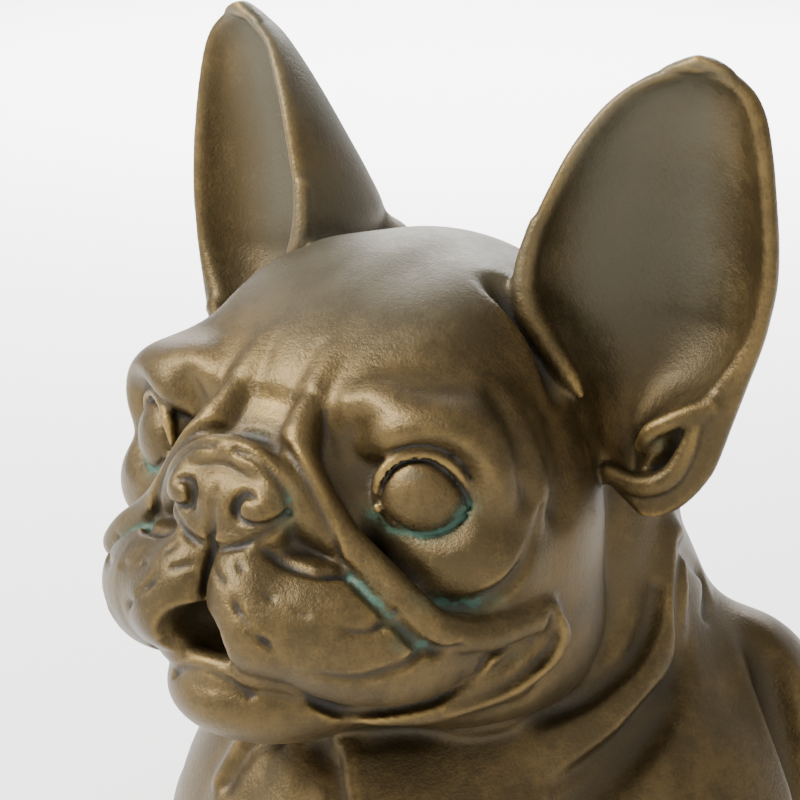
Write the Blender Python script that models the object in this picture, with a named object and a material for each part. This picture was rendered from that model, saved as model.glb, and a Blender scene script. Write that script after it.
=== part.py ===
"""Garden bust of a French bulldog: head, upright ears and shoulders cast in one piece, cut flat below.

The form is one distance field, in carving steps from a point between the eyes: x to the dog's left,
y to its back, z up. Masses are joined softly, folds are laid on, creases are cut in, and the zero
surface is meshed. Every shape is laid on both sides of the middle plane.
"""

import math

import bmesh
import bpy
import numpy as np
import openvdb

# Sizes in metres
EYE_SPAN = 0.0784       # between the middles of the two eyes; the whole carving follows it
EYE_HEIGHT = 0.1394     # middle of the eyes above the flat underside
EYE_SIZE = 0.026        # across one eyeball
NOSE_WIDTH = 0.036      # across the nose, wing to wing
FOLD_SIZE = 0.009       # thickness of the fold that runs from the brow to the mouth corner
EAR_LENGTH = 0.1206     # lobe to tip
EAR_WIDTH = 0.0675      # across the opening at its widest
SHOULDER_WIDTH = 0.192  # across the shoulders

STEP = EYE_SPAN / 78.4  # one carving step
EYE = (39.2, -38.6, 4.4)
EYE_AIM = (37, 8)       # degrees that the eyes look outwards and up
THREE_QUARTER = (37, 15)  # side that creases are drawn from, in degrees outwards and up
UNDERSIDE = EYE[2] - EYE_HEIGHT / STEP
LOW, HIGH = (-110, -98, UNDERSIDE - 14), (110, 150, 120)
SPACING = 2             # steps between the samples of the field
TRIANGLES = 9400
EAR_PLACE, EAR_LEAN = (69.2, 18, 62), (90, 0, 22)
FAR = 1000.0


def turn_matrix(turn):
    """Turns about x, then y, then z, in degrees."""
    x, y, z = (math.radians(angle) for angle in turn)
    about_x = np.array([[1, 0, 0], [0, math.cos(x), -math.sin(x)], [0, math.sin(x), math.cos(x)]])
    about_y = np.array([[math.cos(y), 0, math.sin(y)], [0, 1, 0], [-math.sin(y), 0, math.cos(y)]])
    about_z = np.array([[math.cos(z), -math.sin(z), 0], [math.sin(z), math.cos(z), 0], [0, 0, 1]])
    return about_z @ about_y @ about_x


def curve(rows, parts):
    """A smooth run through the rows, whatever their columns are."""
    rows = np.array(rows, float)
    ends = np.vstack([2 * rows[0] - rows[1], rows, 2 * rows[-1] - rows[-2]])
    t = np.linspace(0, 1, parts, endpoint=False)[:, None]
    run = []
    for a, b, c, d in zip(ends, ends[1:], ends[2:], ends[3:]):
        bend = 2 * a - 5 * b + 4 * c - d
        run.append(0.5 * (2 * b + (c - a) * t + bend * t**2 + (3 * b - a - 3 * c + d) * t**3))
    return np.vstack(run + [rows[-1:]])


class Egg:
    """An ellipsoid."""

    def __init__(self, place, radii, turn=(0, 0, 0)):
        self.place, self.radii, self.axes = np.array(place, float), np.array(radii, float), turn_matrix(turn)
        half = np.sqrt(((self.axes * self.radii) ** 2).sum(1))
        self.low, self.high = self.place - half, self.place + half

    def __call__(self, points):
        local = (points - self.place) @ self.axes
        reach = np.sqrt(((local / self.radii) ** 2).sum(-1))
        slope = np.sqrt(((local / self.radii**2) ** 2).sum(-1))
        return reach * (reach - 1) / np.maximum(slope, 1e-6)


class Roll:
    """A roll of changing thickness: rows of x, y, z and radius."""

    def __init__(self, rows, parts=4):
        self.run = curve(rows, parts)
        self.low = (self.run[:, :3] - self.run[:, 3:]).min(0)
        self.high = (self.run[:, :3] + self.run[:, 3:]).max(0)

    def __call__(self, points):
        best = np.full(points.shape[:-1], FAR)
        for a, b in zip(self.run, self.run[1:]):
            along = b[:3] - a[:3]
            out = points - a[:3]
            t = np.clip(out @ along / max(along @ along, 1e-9), 0, 1)
            out = out - t[..., None] * along
            far = np.sqrt(np.einsum("...i,...i->...", out, out))
            np.minimum(best, far - a[3] - (b[3] - a[3]) * t, out=best)
        return best


class Cup:
    """Half a cup lying behind a plane: rows of height, near edge, far edge and depth."""

    def __init__(self, rows):
        table = curve(rows, 8)
        table = table[np.argsort(table[:, 0])]
        self.height = table[:, 0]
        self.shape = [(table[:, 1] + table[:, 2]) / 2, (table[:, 2] - table[:, 1]) / 2, table[:, 3]]
        self.slope = [np.gradient(column, self.height) for column in self.shape]

    def __call__(self, local):
        up = np.clip(local[..., 1], self.height[0], self.height[-1])
        over = np.abs(local[..., 1] - up)
        middle, half, deep = (np.interp(up, self.height, column) for column in self.shape)
        turn, widen, deepen = (np.interp(up, self.height, column) for column in self.slope)
        across = local[..., 0] - middle
        out = local[..., 2]
        reach = np.sqrt((across / half) ** 2 + (out / deep) ** 2) + 1e-6
        lift = across * turn / half**2 + across**2 * widen / half**3 + out**2 * deepen / deep**3
        steep = np.sqrt((across / half**2) ** 2 + (out / deep**2) ** 2 + lift**2) / reach
        far = (reach - 1) / np.maximum(steep, 1 / 60)
        return np.where(over > 0, np.sqrt(np.maximum(far, 0) ** 2 + over**2), far)


class Ear:
    """The ear's outside, open at its plane, less the hollow inside."""

    def __init__(self, outside, hollow, soft):
        self.place, self.axes = np.array(EAR_PLACE, float), turn_matrix(EAR_LEAN)
        self.outside, self.hollow, self.soft = Cup(outside), Cup(hollow), soft
        self.low = self.place - (75, 85, 0.8 * EAR_LENGTH / STEP)
        self.high = self.place + (75, 85, 0.55 * EAR_LENGTH / STEP)

    def __call__(self, points):
        local = (points - self.place) @ self.axes
        local[..., 2] += 3.2 * np.clip(local[..., 1] / 47, 0, 2) ** 2
        open_cup = cut(self.outside(local), -local[..., 2], self.soft)
        return cut(open_cup, self.hollow(local), self.soft)


def join(a, b, soft):
    share = np.clip(0.5 + 0.5 * (b - a) / soft, 0, 1)
    return b + (a - b) * share - soft * share * (1 - share)


def cut(a, b, soft):
    return -join(-a, b, soft)


class Clay:
    """Shapes added to and cut from one body in turn, each on both sides of the middle plane."""

    low, high = np.array(LOW, float), np.array(HIGH, float)

    def __init__(self):
        self.work = []

    def add(self, shape, soft):
        self.work.append((join, shape, soft))

    def carve(self, shape, soft):
        self.work.append((cut, shape, soft))

    def __call__(self, points):
        """Distances at points given as blocks; a shape far from a block is passed over."""
        points = points * 1.0
        points[..., 0] = np.abs(points[..., 0])
        low, high = points.min(1), points.max(1)
        body = np.full(points.shape[:-1], FAR)
        for change, shape, soft in self.work:
            reach = soft + 4
            near = ((high >= shape.low - reach) & (low <= shape.high + reach)).all(1).nonzero()[0]
            if len(near):
                body[near] = change(body[near], shape(points[near]), soft)
        return np.maximum(body, UNDERSIDE - 6 - points[..., 2])


def ear_rows(rows):
    """Rows of height and two edges, and of depth where there is one, at the ear's own length and width."""
    rows = np.array(rows, float)
    rows[:, 0] *= EAR_LENGTH / STEP / 120.6
    rows[:, 1:3] *= EAR_WIDTH / STEP / 67.5
    return rows


def on_ear(rows):
    """Rows of across, up, out and radius on the ear, as places in the head."""
    rows = np.array(rows, float)
    rows[:, 0] *= EAR_WIDTH / STEP / 67.5
    rows[:, 1] *= EAR_LENGTH / STEP / 120.6
    return np.column_stack([EAR_PLACE + rows[:, :3] @ turn_matrix(EAR_LEAN).T, rows[:, 3]])


def round_eye(rows):
    """Rows of angle about the eye's aim, distance from it, height above the eye's middle and radius."""
    aim, rise = (math.radians(angle) for angle in EYE_AIM)
    across = np.array([math.cos(aim), math.sin(aim), 0])
    out = np.array([math.sin(aim) * math.cos(rise), -math.cos(aim) * math.cos(rise), math.sin(rise)])
    up = np.cross(across, -out)
    places = []
    for angle, far, height, radius in rows:
        turn = math.radians(angle)
        place = EYE + far * (math.cos(turn) * across + math.sin(turn) * up) + height * out
        places.append((*place, radius))
    return places


def on_skin(body, rows, side, over):
    """Rows of across, up, radius and depth, drawn as seen from a side, as places on the body.

    A roll there sinks by that depth when it is carved, over = 1, or stands proud by it when added, over = -1.
    """
    turn, rise = (math.radians(angle) for angle in side)
    across = np.array([math.cos(turn), math.sin(turn), 0])
    out = np.array([math.sin(turn) * math.cos(rise), -math.cos(turn) * math.cos(rise), math.sin(rise)])
    rows = np.array(rows, float)
    places = rows[:, :1] * across + rows[:, 1:2] * np.cross(out, across) + 130 * out
    for _ in range(90):
        places = places - np.clip(0.7 * body(places[None])[0], -3, 12)[:, None] * out
    return np.column_stack([places + (over * (rows[:, 2] - rows[:, 3]))[:, None] * out, rows[:, 2]])


def crease(body, rows, soft=1.2, side=THREE_QUARTER):
    body.carve(Roll(on_skin(body, rows, side, 1)), soft)


def form_head(head):
    head.add(Egg((0, 12, 9), (50, 57, 47.5)), 1)                      # skull
    head.add(Egg((24, 2, 22), (24, 38, 29)), 8)                       # temple
    head.add(Egg((0, -24, 14), (44, 28, 24)), 18)                     # forehead
    head.add(Egg((43, -28, 14), (18, 18, 15)), 10)                    # brow
    head.add(Egg((39, -8, -16), (27, 38, 34), (0, 0, 10)), 14)        # cheek
    head.add(Egg((47, -29, -12), (18, 18, 17)), 5)                    # pouch under the eye
    head.add(Roll([(35, -43, -3, 5), (39, -41, -8, 7.5), (45, -38, -11, 9), (53, -33, -11, 9)]), 5)
    head.add(Egg((26, -2, -42), (36, 40, 31)), 10)                    # jowl
    head.add(Egg((0, -20, -46), (30, 36, 27)), 10)                    # throat
    head.add(Egg((40, 46, 20), (17, 15, 30)), 12)                     # behind the ear
    head.add(Egg((0, -42, -3), (30, 28, 22)), 8)                      # muzzle
    head.add(Roll([(14, -63, -26.5, 16.3), (24, -59.5, -29, 17.8), (36, -49.5, -32.5, 17.5), (46, -33, -35, 12)]), 4)
    head.add(Roll([(7, -67, -15, 10), (9.5, -70.5, -21.5, 11), (13.5, -71.5, -28.5, 12)]), 5)   # front of it


def carve_brow(head):
    head.add(Roll([(22, -47, 24, 3), (30, -44.5, 26, 5), (38, -41.5, 22.5, 6.5), (47, -36.5, 16.5, 7.5),
                   (55, -30.5, 10.5, 7), (60, -26, 5, 5)]), 6)
    head.carve(Egg((29.5, -53, 15), (5.5, 6, 8)), 7)
    # soft furrows at the temple
    head.carve(Roll([(53, -25, 27, 0.5), (59.5, -28, 21, 1.5), (64, -29.5, 12, 2), (64, -29, 5, 1)]), 6)
    head.carve(Roll([(55, -5, 22, 0.5), (60, -5, 13, 1.5), (64, -9, 6, 2), (65, -15, -1, 1)]), 7)
    # valley round the pouch
    head.carve(Roll([(65, -24, 1, 0.5), (66.5, -28, -6, 1.5), (65.5, -32, -12.5, 2.2), (62, -37.5, -18.5, 2.5),
                     (54, -45, -22.3, 2.5), (47.5, -50.8, -19, 2.5), (44.5, -52, -14, 2.5),
                     (40, -52.5, -9, 2.2), (36.5, -52, -3, 1.8)]), 2)


def fold_face(head):
    fold = FOLD_SIZE / STEP / 2
    # long fold between its two grooves, turning back under the mouth corner
    head.carve(Roll([(17, -46, 36, 1), (17.5, -53, 27, 3), (20, -56, 17, 3.5), (25.5, -56.5, 7, 3.5),
                     (31, -55.5, -2, 3.2), (36.5, -54, -10, 3), (43, -51.5, -16, 2.8)]), 5)
    head.carve(Roll([(9, -43, 38, 1), (7.3, -50.5, 32, 2), (6.6, -56, 25, 2.3), (8, -61, 18.5, 2.3),
                     (11, -62.5, 13, 1)]), 4)
    head.add(Roll([(14, -36, 42, 1), (12.4, -43.5, 36, 2.2), (11.3, -51, 27.5, fold - 1.2),
                   (13.5, -56.5, 18, fold - 0.5)]), 6)
    head.add(Roll([(12.5, -54.5, 20, fold - 1), (15.5, -58.8, 13.5, fold), (20, -60, 7, fold),
                   (26, -59, -1.5, fold), (31.8, -57.2, -8.2, fold), (38.9, -55.4, -14.1, fold),
                   (46, -54.2, -19.4, fold),
                   (52.3, -51.2, -25.3, fold), (57.7, -42.6, -28.8, fold), (60.9, -34.9, -28.8, fold),
                   (63.2, -27.3, -27.7, fold), (64.8, -20.4, -28.1, fold), (65.4, -17.2, -32.8, fold),
                   (63, -17.2, -39, fold), (60, -21.5, -43, fold), (55.5, -28, -47, fold), (44, -41, -51.5, fold),
                   (33, -47, -54, fold - 1), (22, -50, -56, 2)]), 2.5)
    # groove behind the mouth corner
    head.carve(Roll([(68, -16, -27, 1), (68.5, -10, -34, 2.5), (65.5, -11, -43, 2.8), (59, -18.5, -51, 2.8),
                     (49.5, -31, -57.5, 2)]), 4)


def carve_mouth(head):
    # room under the upper lips and between them, then the lower jaw and its lip
    head.carve(Roll([(14, -85, -49, 8), (25, -81, -52.5, 10), (38, -72, -55.5, 10), (50, -61, -57, 10)]), 2.5)
    head.carve(Roll([(0, -80.5, -20, 0.8), (0, -82.5, -23.5, 3.2), (0, -84, -27, 5.8), (0, -85, -31.5, 9.2),
                     (0, -85, -36, 13)]), 1)
    head.carve(Egg((0, -74, -32), (10, 12, 8)), 2)
    head.add(Egg((0, -44, -48), (28, 35, 14.5)), 3)
    head.add(Roll([(0, -73.5, -42.5, 4), (8, -72.5, -42, 4), (15, -70, -41.5, 4), (22, -64, -43, 4)]), 2)
    # flesh that closes the fold's lower end against the jaw
    head.add(Roll([(54, -20, -46, 7), (43, -33, -49.5, 7), (32, -39.5, -50.5, 7), (22, -43, -51, 6)]), 3)


def form_nose(head):
    half = NOSE_WIDTH / STEP / 2
    head.add(Roll([(0, -66, 13.5, 4), (half - 10, -66, 11.5, 4), (half - 1, -63.5, 5, 4),
                   (half + 4, -60.5, -3, 4), (half + 9, -56, -9, 3)]), 3)
    head.add(Egg((0, -62.5, -0.5), (half - 1, 12, 12.5)), 1.5)
    head.add(Roll([(0, -71.5, -8, 3.6), (8, -70.5, -7.5, 3.6), (14, -67.5, -5.5, 3.2)]), 3)
    head.add(Egg((half - 6, -68.8, 1.5), (6.2, 6.2, 6)), 2.5)              # wing
    # nostril, and the groove between the fold and the upper lip
    head.carve(Egg((8, -76, 1.5), (2.5, 4, 3.5)), 2)
    crease(head, [(-39.7, 3.5, 2, 1.2), (-31.9, 2.3, 2, 1.8), (-26.7, -0.4, 2, 1.8), (-22.9, -5.3, 2, 1.6),
                  (-17.2, -16.2, 2, 1.4), (-12.5, -27.4, 2, 1.5), (-9.9, -31.4, 2, 1.8), (-3.6, -37.2, 2, 1.8),
                  (1.3, -42, 2, 1.8), (7.8, -48, 2.2, 2.2), (17, -49, 2, 0.6)], 2)


def crease_lips(head):
    # mouth line along the lower edge of the upper lip, and the crease behind its corner
    crease(head, [(31, -47.6, 2, 0.8), (24.7, -49.6, 2.2, 2.4), (19.8, -56.3, 2.2, 2.4), (11.4, -62.2, 2, 1.8),
                  (-6, -66.9, 2, 1.7), (-22.2, -64.3, 2, 1.4)], 2)
    crease(head, [(42.5, -42.4, 2, 0.8), (42.2, -46.7, 2, 1.5), (40.1, -51, 2, 1.8), (35.9, -54.6, 2, 1.8),
                  (26, -60.6, 2, 0.8)], 2)


def set_eye(head):
    eye = EYE_SIZE / STEP / 2
    turn = (-EYE_AIM[1], 0, EYE_AIM[0])
    head.add(Roll(round_eye([(150, 17.5, 2, 1.5), (132, 17, 6, 3), (108, 16, 8, 4.5), (78, 15.5, 8.5, 5),
                             (50, 15.5, 8, 5), (22, 16, 6, 4.5), (0, 17, 3, 3)])), 7)
    head.carve(Egg(round_eye([(0, 0, 19, 1)])[0][:3], (eye + 4, eye - 0.3, eye + 2.5), turn), 3)
    head.add(Egg(EYE, (eye, eye, eye)), 1.5)
    head.add(Roll(round_eye([(178, 11.6, 6.4, 1.2), (158, 11.4, 7.6, 1.7), (130, 11, 8.4, 2), (103, 10.5, 9, 2.1),
                             (75, 10, 9.4, 2.1), (42, 9.9, 9.4, 2), (8, 11, 7.6, 1.7), (350, 12.6, 5, 1.2)])), 1.5)


def form_ear(head):
    head.carve(Roll([(31, -3, 58, 3), (35, 0, 48, 4), (39, 1, 40, 4), (45, 3, 31, 3.5), (51, 3, 22, 2)]), 4)
    outside = [(-73, -3, 5, 4), (-70, -6, 9.5, 8), (-65, -11, 14, 13), (-59, -13, 17.5, 19),
               (-48, -17, 21, 29), (-37, -22, 24.5, 36), (-26, -30, 28, 40), (-19, -34.5, 29.6, 42),
               (-10, -36.5, 31, 41.5), (0, -34, 31, 37), (11, -29.5, 30, 31), (23, -23.5, 28.5, 24),
               (34, -15.5, 26, 17), (42, -6.5, 21, 11), (46, 2, 15, 6), (47.6, 6, 10, 3)]
    hollow = [(-62, -7, -3, 3), (-56, -12, -1, 9), (-50, -15, 1, 13), (-44, -17.5, 7, 16),
              (-37, -20, 15, 19), (-26, -26, 22, 21), (-19, -30, 24.5, 20), (-10, -32, 26, 19),
              (0, -29.5, 26.2, 18), (11, -25, 25.2, 16), (23, -19, 23.5, 12), (34, -11, 20.5, 8.5),
              (39, -5, 17, 6), (42.5, 4, 11, 3)]
    head.add(Ear(ear_rows(outside), ear_rows(hollow), 4), 3)
    # front rim running down the skull, then the pocket at the lobe with its inner edge and lower rim
    head.add(Roll(on_ear([(-32, 2, -3, 1.5), (-34, -10, -1.5, 2.8), (-33, -19, 0, 3.2), (-28, -27, 1, 3.2),
                          (-21, -36, 2, 2.6), (-18, -41, 1, 1)])), 2)
    head.carve(Roll(on_ear([(8, -50, 0, 3), (7, -56, 0, 3.4), (3, -60, 0, 2.5)])), 2)
    head.add(Roll(on_ear([(16, -42, -1, 3), (8, -45, 1, 2.6), (1, -49, 1, 2.4), (-2, -54, -2, 2)])), 2)
    head.add(Roll(on_ear([(-10, -62, 0, 2.4), (-1, -64, 1, 3), (6, -61, 1, 3), (10, -54, 1, 2.6),
                          (12, -47, 1, 2)])), 2)


def form_trunk(trunk):
    trunk.add(Egg((0, 42, -30), (58, 50, 56), (15, 0, 0)), 1)         # neck
    trunk.add(Egg((0, 60, -46), (54, 37, 30)), 8)                     # nape
    trunk.add(Egg((0, 50, -110), (79, 79, 92)), 10)                   # root of the neck
    trunk.add(Egg((0, 56, -116), (SHOULDER_WIDTH / STEP / 2 - 1, 80, 70)), 6)
    trunk.add(Egg((57, 84, -93), (30, 32, 36)), 8)                    # shoulder blade
    trunk.add(Egg((0, -4, -122), (64, 50, 66)), 16)                   # chest
    # edge of the shoulder against the back, and the ridge behind it
    trunk.carve(Roll([(60, 84, -44, 2), (72, 77, -60, 5), (82, 73, -82, 6), (90, 72, -106, 6),
                      (94, 72, -128, 6)]), 5)
    # roll of loose skin behind the jaw, and its crease against the shoulder
    trunk.carve(Roll([(61, 56, -30, 2), (66, 50, -45, 3.5), (68, 40, -62, 4), (68, 24, -74, 4.5),
                      (65, 6, -84, 4.5), (58, -12, -94, 4), (46, -28, -104, 3)]), 6)
    trunk.add(Roll([(55, 50, -28, 6), (57, 46, -44, 8), (56, 38, -58, 9.5), (53, 22, -69, 10),
                    (46, 5, -77, 10), (37, -11, -84, 9), (25, -25, -90, 7)]), 5)
    # cords of the throat
    trunk.add(Roll([(14, -36, -72, 3), (17, -40, -90, 4.5), (20, -44, -110, 5), (22, -45, -130, 5)]), 5)
    trunk.add(Roll([(0, -37, -74, 3), (1, -43, -92, 4), (2, -48.5, -112, 5), (2, -50, -132, 5)]), 5)


def sculpt():
    head = Clay()
    form_head(head)
    carve_brow(head)
    fold_face(head)
    carve_mouth(head)
    form_nose(head)
    crease_lips(head)
    set_eye(head)
    form_ear(head)
    bust = Clay()
    form_trunk(bust)
    bust.add(head, 3)
    return bust


def mesh_of(field, low, high, grid):
    """Points and faces of the field's zero surface, sampled in blocks of eight only where it passes."""
    low, high = np.array(low, float), np.array(high, float)
    size = 8
    counts = np.ceil((high - low) / (grid * size)).astype(int)
    blocks = np.indices(counts).reshape(3, -1).T
    middles = low + (blocks + 0.5) * size * grid
    rough = np.concatenate([field(part[:, None])[:, 0] for part in np.array_split(middles, 8)])
    band = 3 * grid
    values = np.where(rough < 0, -band, band).astype(np.float32).repeat(size**3).reshape(-1, size**3)
    cells = np.indices((size, size, size)).reshape(3, -1).T
    live = (np.abs(rough) < size * grid * 1.3 + 6).nonzero()[0]
    for part in np.array_split(live, max(1, len(live) // 800)):
        points = low + (blocks[part][:, None] * size + cells) * grid
        values[part] = np.clip(field(points), -band, band)
    values = values.reshape(*counts, size, size, size).transpose(0, 3, 1, 4, 2, 5)
    volume = openvdb.FloatGrid(band)
    volume.copyFromArray(np.ascontiguousarray(values.reshape(counts * size)))
    points, faces = volume.convertToQuads(0.0)
    return whole_body(np.asarray(points, float) * grid + low, np.asarray(faces))


def whole_body(points, faces):
    """The largest connected surface, without the specks that a sampled field leaves in narrow creases."""
    label = np.arange(len(points))
    ends = np.concatenate([faces[:, [a, b]] for a, b in ((0, 1), (1, 2), (2, 3), (3, 0))])
    while True:
        least = label[ends].min(1)
        lower = label.copy()
        np.minimum.at(lower, ends[:, 0], least)
        np.minimum.at(lower, ends[:, 1], least)
        lower = lower[lower]
        if (lower == label).all():
            break
        label = lower
    kept = label == np.bincount(label).argmax()
    return points[kept], (np.cumsum(kept) - 1)[faces[kept[faces[:, 0]]]]


def bronze():
    material = bpy.data.materials.new("bronze")
    material.use_nodes = True
    surface = material.node_tree.nodes["Principled BSDF"]
    surface.inputs["Base Color"].default_value = (0.165, 0.112, 0.047, 1)
    surface.inputs["Metallic"].default_value = 0.6
    surface.inputs["Roughness"].default_value = 0.45
    return material


def build():
    points, faces = mesh_of(sculpt(), LOW, HIGH, SPACING)
    points = (points - (0, 0, UNDERSIDE)) * STEP
    mesh = bpy.data.meshes.new("bulldog_bust")
    mesh.from_pydata(points.tolist(), [], faces.tolist())
    bust = bpy.data.objects.new("bulldog_bust", mesh)
    bpy.context.collection.objects.link(bust)
    fewer = bust.modifiers.new("fewer", "DECIMATE")
    fewer.ratio = TRIANGLES / (2 * len(faces))
    fewer.use_collapse_triangulate = True
    light = bpy.data.meshes.new_from_object(bust.evaluated_get(bpy.context.evaluated_depsgraph_get()))
    bust.modifiers.clear()
    # flat underside
    work = bmesh.new()
    work.from_mesh(light)
    every = work.verts[:] + work.edges[:] + work.faces[:]
    bmesh.ops.bisect_plane(work, geom=every, plane_co=(0, 0, 0), plane_no=(0, 0, -1), clear_outer=True)
    rim = [edge for edge in work.edges if edge.is_boundary]
    bmesh.ops.contextual_create(work, geom=rim)
    bmesh.ops.recalc_face_normals(work, faces=work.faces)
    work.to_mesh(mesh)
    work.free()
    mesh.materials.append(bronze())


for old in list(bpy.data.objects):
    bpy.data.objects.remove(old)
build()
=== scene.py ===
"""Garden bust of a French bulldog, cast in one piece and finished as aged bronze.

The bust is carved as one distance field: masses are joined softly, folds are laid on, creases are
cut in. Places are in carving steps from a point between the eyes: x to the dog's left, y to its back,
z up. Every shape is laid on both sides of the middle plane.
"""

import math

import bpy
import numpy as np
import openvdb
from mathutils import Matrix, Vector


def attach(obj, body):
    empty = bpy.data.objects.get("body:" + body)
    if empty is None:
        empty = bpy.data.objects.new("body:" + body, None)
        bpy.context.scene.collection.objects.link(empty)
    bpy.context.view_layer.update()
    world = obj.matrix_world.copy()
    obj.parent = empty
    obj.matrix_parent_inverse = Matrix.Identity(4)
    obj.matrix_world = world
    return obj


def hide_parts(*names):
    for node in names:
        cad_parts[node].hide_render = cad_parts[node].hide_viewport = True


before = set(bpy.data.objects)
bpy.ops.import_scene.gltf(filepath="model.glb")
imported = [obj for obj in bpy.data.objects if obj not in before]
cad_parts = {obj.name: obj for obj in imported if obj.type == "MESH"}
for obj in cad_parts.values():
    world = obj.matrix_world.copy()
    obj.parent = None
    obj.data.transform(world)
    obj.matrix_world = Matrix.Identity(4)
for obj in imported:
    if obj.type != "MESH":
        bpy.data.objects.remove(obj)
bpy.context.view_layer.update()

# Sizes in metres
EYE_SPAN = 0.0784       # between the middles of the two eyes; the whole carving follows it
EYE_HEIGHT = 0.1394     # middle of the eyes above the flat underside
EYE_SIZE = 0.026        # across one eyeball
NOSE_WIDTH = 0.036      # across the nose, wing to wing
FOLD_SIZE = 0.009       # thickness of the fold that runs from the brow to the mouth corner
EAR_LENGTH = 0.1206     # lobe to tip
EAR_WIDTH = 0.0675      # across the opening at its widest
SHOULDER_WIDTH = 0.192  # across the shoulders

STEP = EYE_SPAN / 78.4  # one carving step
EYE = (39.2, -38.6, 4.4)
EYE_AIM = (37, 8)       # degrees that the eyes look outwards and up
THREE_QUARTER, FRONT = (37, 15), (0, 0)  # sides that creases are drawn from, degrees outwards and up
UNDERSIDE = EYE[2] - EYE_HEIGHT / STEP
LOW, HIGH = (-112, -100, UNDERSIDE - 14), (112, 164, 120)
GRID = 0.9      # steps between the samples of the field
MOST_TRIANGLES = 190_000
EAR_PLACE, EAR_LEAN = (69.2, 18, 62), (90, 0, 22)
EAR_DRAWN = (67.5, 120.6)   # width and length that the ear's rows are drawn at, in steps
FAR = 1000.0

OUTSIDE, STRIDES = 130, 90  # how far out a march to the skin starts, and how many strides it takes
FINE, BROAD = 2.2, 8        # distances that small and large swellings are measured over
GREEN_REACH = 6             # how far verdigris spreads from its line

# The photograph's camera
CAMERA_TURN = (37, 15.4, 0.8)   # degrees round to the dog's left, up, and of roll
CAMERA_AIM = (1.8, 11.9)        # steps across and up from the point between the eyes
CAMERA_FAR = 780                # steps from there
CAMERA_LENS = 2910 / 800        # focal length, in widths of the picture


def turn_matrix(turn):
    """Turns about x, then y, then z, in degrees."""
    x, y, z = (math.radians(angle) for angle in turn)
    about_x = np.array([[1, 0, 0], [0, math.cos(x), -math.sin(x)], [0, math.sin(x), math.cos(x)]])
    about_y = np.array([[math.cos(y), 0, math.sin(y)], [0, 1, 0], [-math.sin(y), 0, math.cos(y)]])
    about_z = np.array([[math.cos(z), -math.sin(z), 0], [math.sin(z), math.cos(z), 0], [0, 0, 1]])
    return about_z @ about_y @ about_x


def curve(rows, parts):
    """A smooth run through the rows, whatever their columns are."""
    rows = np.array(rows, float)
    ends = np.vstack([2 * rows[0] - rows[1], rows, 2 * rows[-1] - rows[-2]])
    t = np.linspace(0, 1, parts, endpoint=False)[:, None]
    run = []
    for a, b, c, d in zip(ends, ends[1:], ends[2:], ends[3:]):
        bend = 2 * a - 5 * b + 4 * c - d
        run.append(0.5 * (2 * b + (c - a) * t + bend * t**2 + (3 * b - a - 3 * c + d) * t**3))
    return np.vstack(run + [rows[-1:]])


class Egg:
    """An ellipsoid."""

    def __init__(self, place, radii, turn=(0, 0, 0)):
        self.place, self.radii = np.array(place, float), np.array(radii, float)
        self.axes = turn_matrix(turn)
        half = np.sqrt(((self.axes * self.radii) ** 2).sum(1))
        self.low, self.high = self.place - half, self.place + half

    def __call__(self, points):
        local = (points - self.place) @ self.axes
        reach = np.sqrt(((local / self.radii) ** 2).sum(-1))
        slope = np.sqrt(((local / self.radii**2) ** 2).sum(-1))
        return reach * (reach - 1) / np.maximum(slope, 1e-6)


class Roll:
    """A roll of changing thickness: rows of x, y, z and radius."""

    def __init__(self, rows, parts=4):
        self.run = curve(rows, parts)
        self.low = (self.run[:, :3] - self.run[:, 3:]).min(0)
        self.high = (self.run[:, :3] + self.run[:, 3:]).max(0)

    def __call__(self, points):
        best = np.full(points.shape[:-1], FAR)
        for a, b in zip(self.run, self.run[1:]):
            along = b[:3] - a[:3]
            out = points - a[:3]
            t = np.clip(out @ along / max(along @ along, 1e-9), 0, 1)
            out = out - t[..., None] * along
            far = np.sqrt(np.einsum("...i,...i->...", out, out))
            np.minimum(best, far - a[3] - (b[3] - a[3]) * t, out=best)
        return best


class Cup:
    """Half a cup lying behind a plane: rows of height, near edge, far edge and depth."""

    def __init__(self, rows):
        table = curve(rows, 8)
        table = table[np.argsort(table[:, 0])]
        self.height = table[:, 0]
        self.shape = [(table[:, 1] + table[:, 2]) / 2, (table[:, 2] - table[:, 1]) / 2, table[:, 3]]
        self.slope = [np.gradient(column, self.height) for column in self.shape]

    def __call__(self, local):
        up = np.clip(local[..., 1], self.height[0], self.height[-1])
        over = np.abs(local[..., 1] - up)
        middle, half, deep = (np.interp(up, self.height, column) for column in self.shape)
        turn, widen, deepen = (np.interp(up, self.height, column) for column in self.slope)
        across = local[..., 0] - middle
        out = local[..., 2]
        reach = np.sqrt((across / half) ** 2 + (out / deep) ** 2) + 1e-6
        lift = across * turn / half**2 + across**2 * widen / half**3 + out**2 * deepen / deep**3
        steep = np.sqrt((across / half**2) ** 2 + (out / deep**2) ** 2 + lift**2) / reach
        far = (reach - 1) / np.maximum(steep, 1 / 60)
        return np.where(over > 0, np.sqrt(np.maximum(far, 0) ** 2 + over**2), far)


class Ear:
    """The ear's outside, open at its plane, less the hollow inside."""

    def __init__(self, outside, hollow, soft):
        self.place, self.axes = np.array(EAR_PLACE, float), turn_matrix(EAR_LEAN)
        self.outside, self.hollow, self.soft = Cup(outside), Cup(hollow), soft
        self.low = self.place - (75, 85, 0.8 * EAR_LENGTH / STEP)
        self.high = self.place + (75, 85, 0.55 * EAR_LENGTH / STEP)

    def __call__(self, points):
        local = (points - self.place) @ self.axes
        local[..., 2] += 3.2 * np.clip(local[..., 1] / 47, 0, 2) ** 2
        open_cup = cut(self.outside(local), -local[..., 2], self.soft)
        return cut(open_cup, self.hollow(local), self.soft)


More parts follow.
